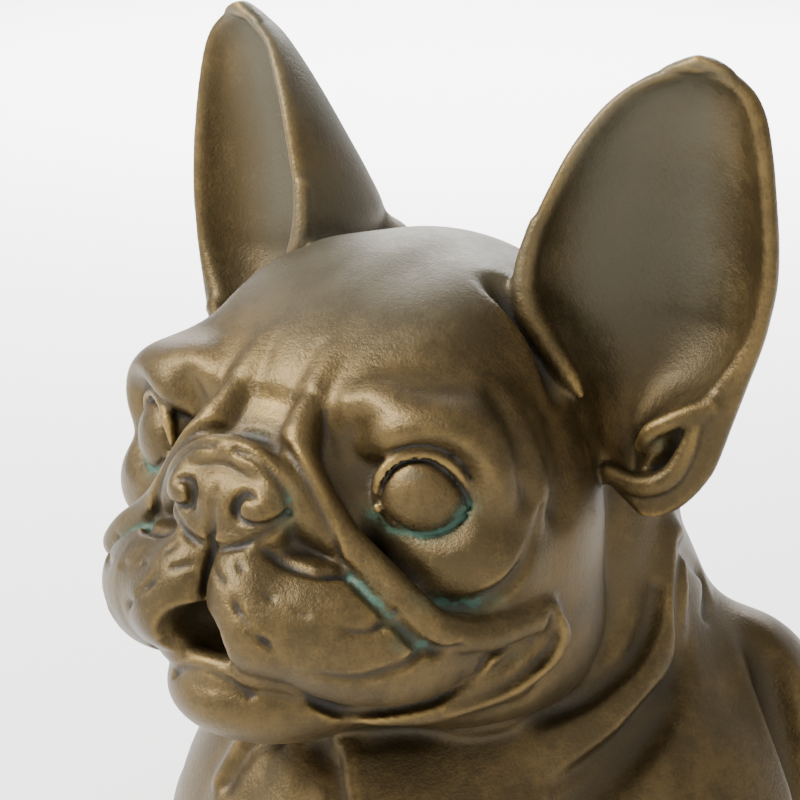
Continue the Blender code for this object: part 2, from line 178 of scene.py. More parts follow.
def join(a, b, soft):
    share = np.clip(0.5 + 0.5 * (b - a) / soft, 0, 1)
    return b + (a - b) * share - soft * share * (1 - share)


def cut(a, b, soft):
    return -join(-a, b, soft)


class Clay:
    """Shapes added to and cut from one body in turn, each on both sides of the middle plane."""

    low, high = np.array(LOW, float), np.array(HIGH, float)

    def __init__(self):
        self.work = []

    def add(self, shape, soft):
        self.work.append((join, shape, soft))

    def carve(self, shape, soft):
        self.work.append((cut, shape, soft))

    def __call__(self, points):
        """Distances at points given as blocks; a shape far from a block is passed over."""
        points = points * 1.0
        points[..., 0] = np.abs(points[..., 0])
        low, high = points.min(1), points.max(1)
        body = np.full(points.shape[:-1], FAR)
        for change, shape, soft in self.work:
            reach = soft + 4
            near = ((high >= shape.low - reach) & (low <= shape.high + reach)).all(1).nonzero()[0]
            if len(near):
                body[near] = change(body[near], shape(points[near]), soft)
        return np.maximum(body, UNDERSIDE - 6 - points[..., 2])


def ear_rows(rows):
    """Rows of height and two edges, and of depth where there is one, at the ear's own length and width."""
    rows = np.array(rows, float)
    rows[:, 0] *= EAR_LENGTH / STEP / EAR_DRAWN[1]
    rows[:, 1:3] *= EAR_WIDTH / STEP / EAR_DRAWN[0]
    return rows


def on_ear(rows):
    """Rows of across, up, out and radius on the ear, as places in the head."""
    rows = np.array(rows, float)
    rows[:, 0] *= EAR_WIDTH / STEP / EAR_DRAWN[0]
    rows[:, 1] *= EAR_LENGTH / STEP / EAR_DRAWN[1]
    return np.column_stack([EAR_PLACE + rows[:, :3] @ turn_matrix(EAR_LEAN).T, rows[:, 3]])


def round_eye(rows):
    """Rows of angle about the eye's aim, distance from it, height above the eye's middle and radius."""
    aim, rise = (math.radians(angle) for angle in EYE_AIM)
    across = np.array([math.cos(aim), math.sin(aim), 0])
    out = np.array([math.sin(aim) * math.cos(rise), -math.cos(aim) * math.cos(rise), math.sin(rise)])
    up = np.cross(across, -out)
    places = []
    for angle, far, height, radius in rows:
        turn = math.radians(angle)
        place = EYE + far * (math.cos(turn) * across + math.sin(turn) * up) + height * out
        places.append((*place, radius))
    return places


def on_skin(body, rows, side, over):
    """Rows of across, up, radius and depth, drawn as seen from a side, as places on the body.

    With over = 1 a roll carved there sinks by that depth; with over = -1 one added stands proud by it.
    """
    turn, rise = (math.radians(angle) for angle in side)
    across = np.array([math.cos(turn), math.sin(turn), 0])
    out = np.array([math.sin(turn) * math.cos(rise), -math.cos(turn) * math.cos(rise), math.sin(rise)])
    rows = np.array(rows, float)
    places = rows[:, :1] * across + rows[:, 1:2] * np.cross(out, across) + OUTSIDE * out
    for _ in range(STRIDES):
        places = places - np.clip(0.7 * body(places[None])[0], -3, 12)[:, None] * out
    return np.column_stack([places + (over * (rows[:, 2] - rows[:, 3]))[:, None] * out, rows[:, 2]])


def crease(body, rows, soft=1.2, side=THREE_QUARTER):
    body.carve(Roll(on_skin(body, rows, side, 1)), soft)


def ridge(body, rows, soft=2, side=THREE_QUARTER):
    body.add(Roll(on_skin(body, rows, side, -1)), soft)


def form_head(head):
    head.add(Egg((0, 12, 9), (50, 57, 47.5)), 1)                      # skull
    head.add(Egg((24, 2, 22), (24, 38, 29)), 8)                       # temple
    head.add(Egg((0, -24, 14), (44, 28, 24)), 18)                     # forehead
    head.add(Egg((43, -28, 14), (18, 18, 15)), 10)                    # brow
    head.add(Egg((39, -8, -16), (27, 38, 34), (0, 0, 10)), 14)        # cheek
    head.add(Egg((47, -29, -12), (18, 18, 17)), 5)                    # pouch under the eye
    head.add(Roll([(35, -43, -3, 5), (39, -41, -8, 7.5), (45, -38, -11, 9), (53, -33, -11, 9)]), 5)
    head.add(Egg((26, -2, -42), (36, 40, 31)), 10)                    # jowl
    head.add(Egg((0, -20, -46), (30, 36, 27)), 10)                    # throat
    head.add(Egg((40, 46, 20), (17, 15, 30)), 12)                     # behind the ear
    head.add(Egg((0, -42, -3), (30, 28, 22)), 8)                      # muzzle, then its lips
    head.add(Roll([(14, -63, -26.5, 16.3), (24, -59.5, -29, 17.8), (36, -49.5, -32.5, 17.5),
                   (46, -33, -35, 12)]), 4)
    head.add(Roll([(7, -67, -15, 10), (9.5, -70.5, -21.5, 11), (13.5, -71.5, -28.5, 12)]), 5)


def carve_brow(head):
    head.add(Roll([(24, -46, 24, 3), (30, -44, 25, 5), (38, -41.5, 22, 6.5), (47, -36.5, 16.5, 7.5),
                   (55, -30.5, 10.5, 7), (60, -26, 5, 5)]), 9)
    head.carve(Egg((29, -53, 14), (4.5, 4.5, 7)), 9)
    # soft furrows at the temple
    head.carve(Roll([(53, -25, 27, 0.3), (59.5, -28, 21, 1), (64, -29.5, 12, 1.2), (64, -29, 5, 0.6)]), 8)
    head.carve(Roll([(55, -5, 22, 0.3), (60, -5, 13, 1), (64, -9, 6, 1.4), (65, -15, -1, 0.7)]), 9)
    # valley round the pouch
    head.carve(Roll([(65, -24, 1, 0.5), (66.5, -28, -6, 1.5), (65.5, -32, -12.5, 2.2),
                     (62, -37.5, -18.5, 2.5), (54, -45, -22.3, 2.5), (47.5, -50.8, -19, 2.5),
                     (44.5, -52, -14, 2.5), (40, -52.5, -9, 2.2), (36.5, -52, -3, 1.8)]), 2)


def fold_face(head):
    fold = FOLD_SIZE / STEP / 2
    # long fold: a groove on each side, its upper end, then the run that turns back under the mouth corner
    head.carve(Roll([(16, -47.5, 34, 0.2), (17, -53, 27.5, 1.3), (20, -56, 17, 3.2),
                     (25.5, -56.5, 7, 3.5), (31, -55.5, -2, 3.2), (36.5, -54, -10, 3),
                     (43, -51.5, -16, 2.8)]), 5)
    head.carve(Roll([(7, -43, 38, 0.5), (6, -50.5, 31.5, 1.5), (6.3, -56, 25, 2), (8, -61, 18.5, 2.2),
                     (11, -62.5, 13, 1)]), 4)
    head.add(Roll([(11.6, -39.5, 33, 0.3), (11.6, -45.5, 29, fold - 3.5), (12.2, -51.3, 23.5, fold - 2),
                   (13.5, -56.3, 18, fold - 0.9)]), 6)
    head.add(Roll([(12.2, -49.5, 24, fold - 3), (12.5, -53.8, 20, fold - 1.5), (15.5, -58.8, 13.5, fold),
                   (20, -60, 7, fold), (26, -59, -1.5, fold), (31.8, -57.2, -8.2, fold),
                   (38.9, -55.4, -14.1, fold), (46, -54.2, -19.4, fold), (52.3, -51.2, -25.3, fold),
                   (57.7, -42.6, -28.8, fold), (60.9, -34.9, -28.8, fold), (63.2, -27.3, -27.7, fold),
                   (64.8, -20.4, -28.1, fold), (65.4, -17.2, -32.8, fold), (63, -17.2, -39, fold),
                   (60, -21.5, -43, fold), (55.5, -28, -47, fold), (44, -41, -51.5, fold),
                   (33, -47, -54, fold - 1), (22, -50, -56, 2)]), 2.5)
    # groove behind the mouth corner
    head.carve(Roll([(68, -16, -27, 1), (68.5, -10, -34, 2.5), (65.5, -11, -43, 2.8),
                     (59, -18.5, -51, 2.8), (49.5, -31, -57.5, 2)]), 4)


def carve_mouth(head):
    # room under the upper lips and between them, then the lower jaw and its edge
    head.carve(Roll([(14, -85, -49, 8), (25, -81, -52.5, 10), (38, -72, -55.5, 10),
                     (50, -61, -57, 10)]), 2.5)
    head.carve(Roll([(0, -80.5, -20, 0.8), (0, -82.5, -23.5, 3.2), (0, -84, -27, 5.8),
                     (0, -85, -31.5, 9.2), (0, -85, -36, 13)]), 1)
    head.carve(Egg((0, -74, -32), (10, 12, 8)), 2)
    head.add(Egg((0, -42, -51), (29, 37, 17)), 3)
    head.add(Roll([(0, -73.5, -42.5, 4), (8, -72.5, -42, 4), (15, -70, -41.5, 4), (22, -64, -43, 4)]), 2)
    # flesh that closes the fold's lower end against the jaw
    head.add(Roll([(54, -20, -46, 7), (43, -33, -49.5, 7), (32, -39.5, -50.5, 7), (22, -43, -51, 6)]), 3)


def form_nose(head):
    half = NOSE_WIDTH / STEP / 2
    head.add(Roll([(0, -66, 13.5, 4), (half - 10, -66, 11.5, 4), (half - 1, -63.5, 5, 4),
                   (half + 4, -60.5, -3, 4), (half + 9, -56, -9, 3)]), 3)
    head.add(Egg((0, -62.5, -0.5), (half - 1, 12, 12.5)), 0.8)
    head.add(Roll([(0, -71.5, -8, 3.6), (8, -70.5, -7.5, 3.6), (14, -67.5, -5.5, 3.2)]), 3)
    head.add(Egg((half - 6, -67.9, 1.5), (6.5, 6, 6.3)), 4)              # wing
    # groove round the nose, the groove down its middle, and over the roll above it
    crease(head, [(-45.8, -25.3, 1.2, 1.3), (-41.3, -25, 1.2, 1.5), (-36, -23.8, 1.2, 1.5),
                  (-29.8, -20.4, 1.1, 1.3), (-25.7, -17.4, 1, 1.1), (-24.9, -13.9, 1, 1),
                  (-26.4, -10.2, 1, 1), (-29.5, -6.1, 1, 1), (-33.8, -2.5, 1.1, 1.1),
                  (-38.9, -0.6, 1.2, 1.2)])
    crease(head, [(0, 6, 0.8, 0.3), (0, 1, 1, 0.8), (0, -5, 1.2, 1.3), (0, -11, 1.4, 1.8),
                  (0, -16, 1.6, 2), (0, -21, 1.6, 2)], 1.2, FRONT)
    crease(head, [(-39.7, 3.5, 1.5, 1.2), (-37.1, 3.4, 1.5, 1.4), (-31.9, 2.3, 1.6, 1.8),
                  (-26.7, -0.4, 1.6, 1.8), (-22.9, -5.3, 1.5, 1.5), (-19.8, -10.6, 1.4, 1.3),
                  (-17.2, -16.2, 1.3, 1.2), (-14.7, -22.3, 1.3, 1.2), (-12.5, -27.4, 1.4, 1.4),
                  (-9.9, -31.4, 1.6, 1.8), (-3.6, -37.2, 1.6, 1.8), (1.3, -42, 1.6, 1.8),
                  (5.6, -46.4, 1.8, 2.2), (7.8, -48, 1.8, 2.2), (12.5, -49.6, 1.6, 1.4),
                  (17, -49, 1.4, 0.6)], 1.5)
    # nostril: a hook over a hole, and the slit under the wing
    crease(head, [(-33.8, -12.6, 1, 0.6), (-34.6, -11.8, 1.2, 1.4), (-36.3, -11.4, 1.5, 2),
                  (-37.8, -12.9, 1.7, 2.6), (-38.3, -15.4, 1.8, 3), (-37.6, -17.6, 1.3, 2),
                  (-34.2, -19.2, 1, 1.5), (-31, -19, 1, 1.4), (-28, -17.7, 1, 1.4),
                  (-25.4, -15.9, 1, 1)], 0.8)


def crease_lips(head):
    # mouth line along the lower edge of the upper lip, up to the corner
    crease(head, [(31, -49, 1.2, 0.6), (28.6, -49.8, 1.6, 2.2), (25.7, -50.6, 2, 3.4),
                  (23.8, -52.7, 2.1, 3.8), (21.9, -55.6, 2.1, 3.8), (18.4, -58.7, 2, 3.4),
                  (14.4, -61.3, 1.9, 3), (9.2, -63.5, 1.8, 2.6), (2.9, -65.1, 1.8, 2.4),
                  (-4.7, -66.6, 1.8, 2.4), (-11.1, -67.1, 1.8, 2.4), (-17.3, -64.3, 1.8, 2.4),
                  (-22.1, -60.8, 1.6, 2), (-25.8, -58.9, 1.2, 1)], 1.2)
    crease(head, [(42, -41.5, 1.4, 0.6), (41.1, -44.6, 1.7, 1.6), (40.6, -48.8, 2, 2.4),
                  (38.2, -52.7, 2, 2.6), (34.4, -56.2, 2, 2.6), (29.4, -59.5, 1.9, 2.2),
                  (23, -62.3, 1.8, 1.5), (16.7, -64.6, 1.6, 0.6)], 2)
    # cushion beside the nose, folds of the upper lip, and the crease under the lower lip
    crease(head, [(-31.8, -24.7, 1.2, 0.6), (-28.3, -27.1, 1.3, 1.2), (-24.8, -29, 1.4, 1.4),
                  (-21, -30.1, 1.4, 1.3), (-17.3, -31, 1.3, 1.2), (-10.5, -31.6, 1.4, 1.4)])
    crease(head, [(-12.1, -43.4, 1, 0.4), (-8.4, -44.1, 1.2, 0.9), (-4.7, -43.9, 1.3, 1),
                  (-1.1, -42, 1.3, 0.9), (1.1, -39.8, 1, 0.5)])
    crease(head, [(-16.9, -55.6, 1, 0.3), (-12, -56.3, 1.2, 0.8), (-7.1, -56.2, 1.3, 1),
                  (-1.4, -54.6, 1.3, 1.1), (4.4, -52.4, 1.3, 1.2), (7.3, -49.7, 1.2, 1)])
    crease(head, [(-46.3, -56.4, 1.2, 1), (-40.2, -58.9, 1.2, 1), (-34.6, -62.2, 1.2, 0.8)])
    # dimples where whiskers sit
    for rows in ([(-38.8, -36.9, 1, 0.5), (-37.7, -39.3, 1.2, 1.1), (-36.2, -41.6, 1, 0.7),
                  (-34.6, -44, 0.8, 0.4)],
                 [(-33, -45.9, 0.9, 0.5), (-30.4, -47.6, 1.2, 1.2), (-28.3, -49.8, 0.8, 0.4)],
                 [(-31.4, -35.5, 0.9, 0.5), (-29.1, -36.6, 1.1, 0.7)],
                 [(-22.9, -39.7, 0.9, 0.4), (-20.4, -40.2, 1, 0.5)],
                 [(-38.1, -27.7, 0.9, 0.4), (-36.8, -29.6, 1.1, 0.7)],
                 [(-44, -30.5, 0.8, 0.3), (-41.5, -33.2, 1, 0.6)]):
        crease(head, rows, 0.8)


def set_eye(head):
    eye = EYE_SIZE / STEP / 2
    turn = (-EYE_AIM[1], 0, EYE_AIM[0])
    # flesh over the lid, and the socket
    head.add(Roll(round_eye([(141, 17.5, 2.5, 1.5), (128, 17, 6, 3), (108, 16, 8, 4.5),
                             (78, 15.5, 8.5, 5), (50, 15.5, 8, 5), (22, 16, 6, 4.5), (0, 17, 3, 3)])), 7)
    head.carve(Egg(round_eye([(0, 0, 19, 1)])[0][:3], (eye + 4, eye - 0.3, eye + 2.5), turn), 3)
    # crease over the lid, the upper lid, the eyeball, the groove round it, and the tear duct
    head.carve(Roll(round_eye([(150, 13.2, 8.2, 0.4), (130, 12.9, 9.9, 0.7), (105, 12.4, 10.9, 0.8),
                               (75, 11.8, 11.1, 0.8), (40, 11.8, 10.4, 0.6), (10, 12.6, 8.6, 0.5)])), 1.4)
    head.add(Roll(round_eye([(178, 11.6, 6.4, 1.2), (158, 11.4, 7.6, 1.7), (130, 11, 8.4, 2),
                             (103, 10.5, 9, 2.1), (75, 10, 9.4, 2.1), (42, 9.9, 9.4, 2),
                             (8, 11, 7.6, 1.7), (350, 12.6, 5, 1.2)])), 0.8)
    head.add(Egg(EYE, (eye, eye, eye)), 0.2)
    head.carve(Roll(round_eye([(198, 12, 5.6, 0.5), (183, 10.9, 7.4, 0.7), (159, 10.3, 8.2, 0.8),
                               (131, 9.9, 8.9, 0.9), (103, 9.1, 9.5, 0.9), (77, 8.4, 10.2, 0.9),
                               (42, 8, 10.5, 0.8), (5, 9.8, 9.2, 0.8), (343, 12.2, 8, 0.7)]), 3), 0.4)
    head.carve(Roll(round_eye([(198, 12, 5.6, 0.5), (213, 10.8, 7.6, 0.7), (245, 10.2, 8.4, 0.8),
                               (272, 10.2, 8.6, 0.8), (300, 10.3, 9, 0.8), (320, 10.8, 9, 0.8),
                               (338, 12, 8, 0.8), (344, 14, 7.5, 0.8), (346, 17.5, 6, 0.4)]), 3), 0.4)
    head.add(Egg(round_eye([(199, 12, 6.2, 1)])[0][:3], (1.4, 1.4, 1.4)), 0.3)


def form_ear(head):
    head.carve(Roll([(31, -3, 58, 3), (35, 0, 48, 4), (39, 1, 40, 4), (45, 3, 31, 3.5),
                     (51, 3, 22, 2)]), 4)
    outside = [(-73, -3, 5, 4), (-70, -6, 9.5, 8), (-65, -11, 14, 13), (-59, -13, 17.5, 19),
               (-48, -17, 21, 29), (-37, -22, 24.5, 36), (-26, -30, 28, 40), (-19, -34.5, 29.6, 42),
               (-10, -36.5, 31, 41.5), (0, -34, 31, 37), (11, -29.5, 30, 31), (23, -23.5, 28.5, 24),
               (34, -15.5, 26, 17), (42, -6.5, 21, 11), (46, 2, 15, 6), (47.6, 6, 10, 3)]
    hollow = [(-62, -7, -3, 3), (-56, -12, -1, 9), (-50, -15, 1, 13), (-44, -17.5, 7, 16),
              (-37, -20, 15, 19), (-26, -26, 22, 21), (-19, -30, 24.5, 20), (-10, -32, 26, 19),
              (0, -29.5, 26.2, 18), (11, -25, 25.2, 16), (23, -19, 23.5, 12), (34, -11, 20.5, 8.5),
              (39, -5, 17, 6), (42.5, 4, 11, 3)]
    head.add(Ear(ear_rows(outside), ear_rows(hollow), 4), 3)
    # front rim running down the skull, then the pocket at the lobe, its inner edge and its lower rim
    head.add(Roll(on_ear([(-32, 2, -3, 1.5), (-34, -10, -1.5, 2.8), (-33, -19, 0, 3.2),
                          (-28, -27, 1, 3.2), (-21, -36, 2, 2.6), (-18, -41, 1, 1)])), 2)
    head.carve(Roll(on_ear([(8, -50, 0, 3), (7, -56, 0, 3.4), (3, -60, 0, 2.5)])), 2)
    head.add(Roll(on_ear([(16, -42, -1, 3), (8, -45, 1, 2.6), (1, -49, 1, 2.4), (-2, -54, -2, 2)])), 2)
    head.add(Roll(on_ear([(-10, -62, 0, 2.4), (-1, -64, 1, 3), (6, -61, 1, 3), (10, -54, 1, 2.6),
                          (12, -47, 1, 2)])), 2)


def form_trunk(trunk):
    trunk.add(Egg((0, 42, -30), (58, 50, 56), (15, 0, 0)), 1)         # neck
    trunk.add(Egg((0, 60, -46), (54, 37, 30)), 8)                     # nape
    trunk.add(Egg((0, 50, -110), (79, 79, 92)), 10)                   # root of the neck
    trunk.add(Egg((0, 56, -116), (SHOULDER_WIDTH / STEP / 2 - 1, 80, 70)), 6)
    trunk.add(Egg((57, 84, -93), (30, 32, 36)), 8)                    # shoulder blade
    trunk.add(Egg((0, -4, -122), (64, 50, 66)), 16)                   # chest
    # edge of the shoulder against the back, and the ridge behind it
    trunk.carve(Roll([(60, 84, -44, 2), (72, 77, -60, 5), (82, 73, -82, 6), (90, 72, -106, 6),
                      (94, 72, -128, 6)]), 5)
    # roll of loose skin behind the jaw, and its crease against the shoulder
    trunk.carve(Roll([(61, 56, -30, 2), (66, 50, -45, 3.5), (68, 40, -62, 4), (68, 24, -74, 4.5),
                      (65, 6, -84, 4.5), (58, -12, -94, 3), (46, -28, -103, 0.6)]), 6)
    trunk.add(Roll([(55, 50, -28, 6), (57, 46, -44, 8), (56, 38, -58, 9.5), (53, 22, -69, 10),
                    (46, 5, -77, 10), (37, -11, -84, 9), (25, -25, -90, 7)]), 5)
    # cords of the throat
    trunk.add(Roll([(14, -36, -72, 3), (17, -40, -90, 4.5), (20, -44, -110, 5), (22, -45, -130, 5)]), 9)
    trunk.add(Roll([(0, -37, -74, 3), (1, -43, -92, 4), (2, -48.5, -112, 5), (2, -50, -132, 5)]), 9)


def crease_neck(bust):
    # loose skin over the neck, its edge against the shoulder, and the throat
    crease(bust, [(71.4, -38.5, 1.8, 0.8), (70, -46.5, 2.4, 2), (67.2, -53.1, 2.6, 2.6),
                  (63, -58.2, 2.6, 2.6), (56.1, -63.7, 2.6, 2.6), (50.7, -67, 2.6, 2.6),
                  (42.6, -69.9, 2.6, 2.6), (33, -72.1, 2.6, 2.4), (17.9, -74.7, 2.4, 1.8),
                  (3, -75.7, 2.2, 1.2), (-11.3, -78.1, 2, 0.4)], 3)
    crease(bust, [(79.9, -26.6, 1.8, 0.8), (79.3, -41.3, 2.2, 2), (78.9, -55.1, 2.4, 2.4),
                  (76.1, -63.1, 2.4, 2.4), (70.2, -69.2, 2.4, 2.4), (61.8, -78, 2.4, 2.2),
                  (53.5, -84.1, 2.2, 1.6), (45.4, -88.9, 2, 0.6)], 3)
    crease(bust, [(79.9, -27.4, 1.4, 0.4), (86.7, -34.9, 1.6, 1), (88.8, -40.6, 1.6, 1),
                  (88.1, -47, 1.4, 0.4)], 3)
    crease(bust, [(-19.4, -79.4, 2, 0.6), (-14.8, -83.5, 3, 1.8), (-13.4, -90, 3, 1.8),
                  (-12.5, -97, 3, 1.8)], 4)
    ridge(bust, [(-9.7, -79.5, 2, 0.5), (-8.8, -85.9, 2.4, 1), (-7.9, -92, 2.4, 1), (-7, -99, 2.4, 1)])


def sculpt():
    head = Clay()
    form_head(head)
    carve_brow(head)
    fold_face(head)
    carve_mouth(head)
    form_nose(head)
    crease_lips(head)
    set_eye(head)
    form_ear(head)
    bust = Clay()
    form_trunk(bust)
    bust.add(head, 3)
    crease_neck(bust)
    return bust


def mesh_of(field, low, high, grid):
    """Points and faces of the field's zero surface, sampled in blocks of eight only where it passes."""
    low, high = np.array(low, float), np.array(high, float)
    size = 8
    counts = np.ceil((high - low) / (grid * size)).astype(int)
    blocks = np.indices(counts).reshape(3, -1).T
    middles = low + (blocks + 0.5) * size * grid
    rough = np.concatenate([field(part[:, None])[:, 0] for part in np.array_split(middles, 8)])
    band = 3 * grid
    values = np.where(rough < 0, -band, band).astype(np.float32).repeat(size**3).reshape(-1, size**3)
    cells = np.indices((size, size, size)).reshape(3, -1).T
    live = (np.abs(rough) < size * grid * 1.3 + 6).nonzero()[0]
    for part in np.array_split(live, max(1, len(live) // 800)):
        points = low + (blocks[part][:, None] * size + cells) * grid
        values[part] = np.clip(field(points), -band, band)
    values = values.reshape(*counts, size, size, size).transpose(0, 3, 1, 4, 2, 5)
    volume = openvdb.FloatGrid(band)
    volume.copyFromArray(np.ascontiguousarray(values.reshape(counts * size)))
    points, faces = volume.convertToQuads(0.0)
    return whole_body(np.asarray(points, float) * grid + low, np.asarray(faces))


def whole_body(points, faces):
    """The largest connected surface, without the specks that a sampled field leaves in narrow creases."""
    label = np.arange(len(points))
    ends = np.concatenate([faces[:, [a, b]] for a, b in ((0, 1), (1, 2), (2, 3), (3, 0))])
    while True:
        least = label[ends].min(1)
        lower = label.copy()
        np.minimum.at(lower, ends[:, 0], least)
        np.minimum.at(lower, ends[:, 1], least)
        lower = lower[lower]
        if (lower == label).all():
            break
        label = lower
    kept = label == np.bincount(label).argmax()
    return points[kept], (np.cumsum(kept) - 1)[faces[kept[faces[:, 0]]]]


# Piece made from the carving

def field_at(field, points):
    """The field's distances at any points, taken in small groups that lie close together."""
    order = np.lexsort(np.floor(points / 9).T)
    groups = np.append(order, np.full(-len(order) % 48, order[-1])).reshape(-1, 48)
    values = np.empty(len(points))
    for part in np.array_split(groups, max(1, len(groups) // 400)):
        values[part] = field(points[part])
    return values


def swell(field, points, far):
    """How much the surface bulges over this distance: above 0 on a ridge, below 0 in a crease."""
    middle = field_at(field, points)
    around = sum(field_at(field, points + far * np.array(way))
                 for way in ((1, 0, 0), (-1, 0, 0), (0, 1, 0), (0, -1, 0), (0, 0, 1), (0, 0, -1)))
    return (around / 6 - middle) / far


# Lines of verdigris: rows of across and up, drawn as the creases are, and how strong it is there.
# In turn: lower eye line, under the fold, under the pouch, beside and over the nose, mouth corner, ear.
GREEN_RUNS = [
    [(-5.8, -14, 0.7), (-4, -16.9, 1), (-1.5, -18.8, 1), (2.3, -20.1, 1), (7.2, -20.8, 1), (12.1, -20.2, 1),
     (15.8, -18.1, 1), (19, -14.6, 1), (20.4, -12.5, 0.7)],
    [(-10, -31.6, 0.8), (-6.2, -34.5, 1), (-2.4, -38.1, 0.9), (0.1, -41.7, 0.7), (2.6, -47.9, 0.8),
     (7.8, -47.9, 0.8)],
    [(6.2, -36.5, 0.7), (12.4, -37.9, 0.9), (19.9, -37.6, 0.9), (27.3, -36.5, 0.5)],
    [(-25.9, -12.7, 0.7), (-25, -19, 0.7)],
    [(-51.9, 0.8, 0.3), (-44.3, 3.1, 0.4), (-38.5, 3.8, 0.6), (-32.8, 3.7, 0.6)],
    [(28.8, -48.3, 0.5), (29.4, -51.8, 0.6), (31.5, -51.9, 0.4)],
    [(64.8, 5.3, 0.5), (67.6, 2.7, 0.6), (71.8, 0.1, 0.4)],
]


def near_runs(field, points, runs, reach):
    """The strength of the nearest of these runs, falling to 0 at this reach from them."""
    aside = points * (1, 1, 1)
    aside[:, 0] = np.abs(aside[:, 0])
    best = np.zeros(len(points))
    for rows in runs:
        drawn = np.array(on_skin(field, [(*row[:2], 0, 0) for row in rows], THREE_QUARTER, 0))[:, :3]
        for part in np.linspace(0, len(rows) - 1, 5 * len(rows)):
            one = min(int(part), len(rows) - 2)
            share = part - one
            place = drawn[one] + (drawn[one + 1] - drawn[one]) * share
            strong = rows[one][2] + (rows[one + 1][2] - rows[one][2]) * share
            best = np.maximum(best, strong * (1 - np.linalg.norm(aside - place, axis=1) / reach))
    return best


def keep_values(piece, **columns):
    """Stores one number a point under each name, for the finish to read."""
    for name, column in columns.items():
        layer = piece.data.attributes.new(name, "FLOAT", "POINT")
        layer.data.foreach_set("value", np.ascontiguousarray(column, np.float32))


def cast_bust(field):
    """The carving as one closed mesh, cut flat underneath."""
    points, faces = mesh_of(field, LOW, HIGH, GRID)
    mesh = bpy.data.meshes.new("bulldog_bust_cast")
    mesh.from_pydata(((points - (0, 0, UNDERSIDE)) * STEP).tolist(), [], faces.tolist())
    bust = bpy.data.objects.new("bulldog_bust_cast", mesh)
    bpy.context.scene.collection.objects.link(bust)
    bpy.ops.object.select_all(action="DESELECT")
    bust.select_set(True)
    bpy.context.view_layer.objects.active = bust
    bpy.ops.object.mode_set(mode="EDIT")
    bpy.ops.mesh.select_all(action="SELECT")
    bpy.ops.mesh.bisect(plane_co=(0, 0, 0), plane_no=(0, 0, 1), use_fill=True, clear_inner=True)
    bpy.ops.mesh.select_all(action="SELECT")
    bpy.ops.mesh.normals_make_consistent(inside=False)
    bpy.ops.object.mode_set(mode="OBJECT")
    count = sum(len(face.vertices) - 2 for face in bust.data.polygons)
    if count > MOST_TRIANGLES:
        thin = bust.modifiers.new("thin", "DECIMATE")
        thin.ratio = MOST_TRIANGLES / count
        bpy.ops.object.modifier_apply(modifier=thin.name)
    bpy.ops.object.shade_smooth_by_angle(angle=math.radians(60))
    return bust


def mark_surface(bust, field):
    """What the finish reads: ridges, creases, and where verdigris and weathering sit."""
    places = np.empty(len(bust.data.vertices) * 3)
    bust.data.vertices.foreach_get("co", places)
    places = places.reshape(-1, 3) / STEP + (0, 0, UNDERSIDE)
    aside = places * (1, 1, 1)
    aside[:, 0] = np.abs(aside[:, 0])
    ear = (aside - EAR_PLACE) @ turn_matrix(EAR_LEAN)
    within = np.clip((26 - np.abs(ear[:, 0] + 5)) / 12, 0, 1) * np.clip((ear[:, 1] + 45) / 30, 0, 1)
    within *= np.clip((1 - ear[:, 2]) / 3, 0, 1) * (aside[:, 0] > 40)
    crown = np.clip((places[:, 2] - 34) / 18, 0, 1) * np.clip((44 - aside[:, 0]) / 14, 0, 1)
    keep_values(bust, fine_swell=swell(field, places, FINE), broad_swell=swell(field, places, BROAD),
                green=near_runs(field, places, GREEN_RUNS, GREEN_REACH), bare=np.maximum(within, crown))


# Finish

class Value:
    """A socket of the finish; arithmetic on it adds Math nodes."""

    def __init__(self, finish, socket):
        self.finish, self.socket = finish, socket

    def math(self, operation, *terms, clamp=False):
        settings = {"operation": operation, "use_clamp": clamp}
        return self.finish.node("ShaderNodeMath", settings, dict(enumerate(terms)))[0]

    def __add__(self, other):
        return self.math("ADD", self, other)

    def __sub__(self, other):
        return self.math("SUBTRACT", self, other)

    def __rsub__(self, other):
        return self.math("SUBTRACT", other, self)

    def __mul__(self, other):
        return self.math("MULTIPLY", self, other)

    def __neg__(self):
        return self.math("MULTIPLY", self, -1.0)

    __radd__, __rmul__ = __add__, __mul__

    def clipped(self):
        return self.math("ADD", self, 0.0, clamp=True)

    def most(self, other):
        return self.math("MAXIMUM", self, other)

    def rise(self, start, end):
        """0 up to start, 1 from end on, smooth between."""
        settings = {"interpolation_type": "SMOOTHSTEP"}
        return self.finish.node("ShaderNodeMapRange", settings,
                                {"Value": self, "From Min": start, "From Max": end})[0]


